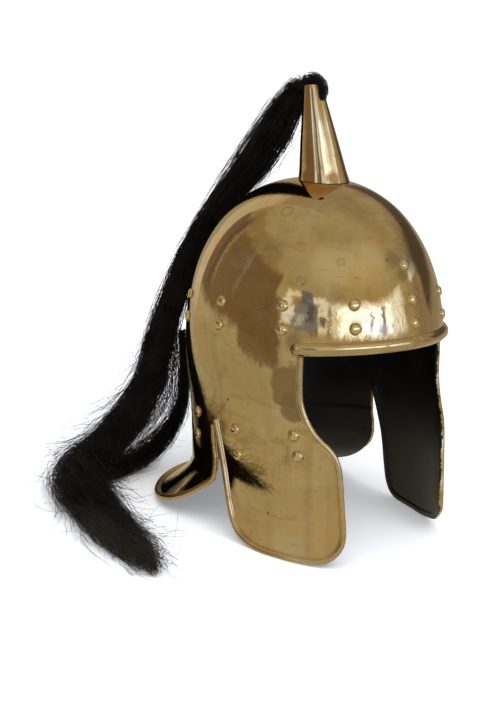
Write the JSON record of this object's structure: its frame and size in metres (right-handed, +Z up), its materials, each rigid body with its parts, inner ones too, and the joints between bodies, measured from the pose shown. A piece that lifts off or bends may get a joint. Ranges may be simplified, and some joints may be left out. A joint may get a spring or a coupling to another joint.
{
  "type": "plumed brass helmet",
  "caption": "Domed brass helmet with cheek guards, neck guard, rolled brow moulding, domed rivets and a cone socket that holds a long black horsehair plume.",
  "frame": {"origin": "on the surface the helmet stands on, under the middle of the whole outline", "axes": "+X towards the wearer's left, +Y towards the back of the head, +Z up; the face opening looks along -Y and the helmet stands pitched back on its cheek guards and neck guard"},
  "size_m": [0.3336, 0.2848, 0.3976],
  "materials": {
    "brass": "polished by hand, warm, lightly tarnished and dented; gloss black paint inside",
    "rivet_brass": "polished domed heads, dark in the seat",
    "horsehair": "loose black horsehair with brown glints"
  },
  "bodies": {
    "root": {"brass_shell": "brass", "brow_bead": "brass", "right_cheek_rim": "brass", "left_cheek_rim": "brass", "neck_guard_rim": "brass", "plume_socket": "brass", "horsehair_plume": "horsehair", "brow_rivet": "rivet_brass", "band_rivet_upper_01": "rivet_brass", "band_rivet_upper_02": "rivet_brass", "band_rivet_upper_03": "rivet_brass", "band_rivet_upper_04": "rivet_brass", "band_rivet_upper_05": "rivet_brass", "band_rivet_upper_06": "rivet_brass", "band_rivet_upper_07": "rivet_brass", "band_rivet_upper_08": "rivet_brass", "band_rivet_upper_09": "rivet_brass", "band_rivet_upper_10": "rivet_brass", "band_rivet_upper_11": "rivet_brass", "band_rivet_lower_01": "rivet_brass", "band_rivet_lower_02": "rivet_brass", "band_rivet_lower_03": "rivet_brass", "band_rivet_lower_04": "rivet_brass", "band_rivet_lower_05": "rivet_brass", "band_rivet_lower_06": "rivet_brass", "band_rivet_lower_07": "rivet_brass", "band_rivet_lower_08": "rivet_brass", "band_rivet_lower_09": "rivet_brass", "band_rivet_lower_10": "rivet_brass", "band_rivet_lower_11": "rivet_brass", "right_cheek_rivet_1": "rivet_brass", "right_cheek_rivet_2": "rivet_brass", "right_cheek_rivet_3": "rivet_brass", "right_cheek_rivet_4": "rivet_brass", "left_cheek_rivet_1": "rivet_brass", "left_cheek_rivet_2": "rivet_brass", "left_cheek_rivet_3": "rivet_brass", "left_cheek_rivet_4": "rivet_brass", "right_neck_rivet_1": "rivet_brass", "right_neck_rivet_2": "rivet_brass", "left_neck_rivet_1": "rivet_brass", "left_neck_rivet_2": "rivet_brass"}
  },
  "joints": []
}
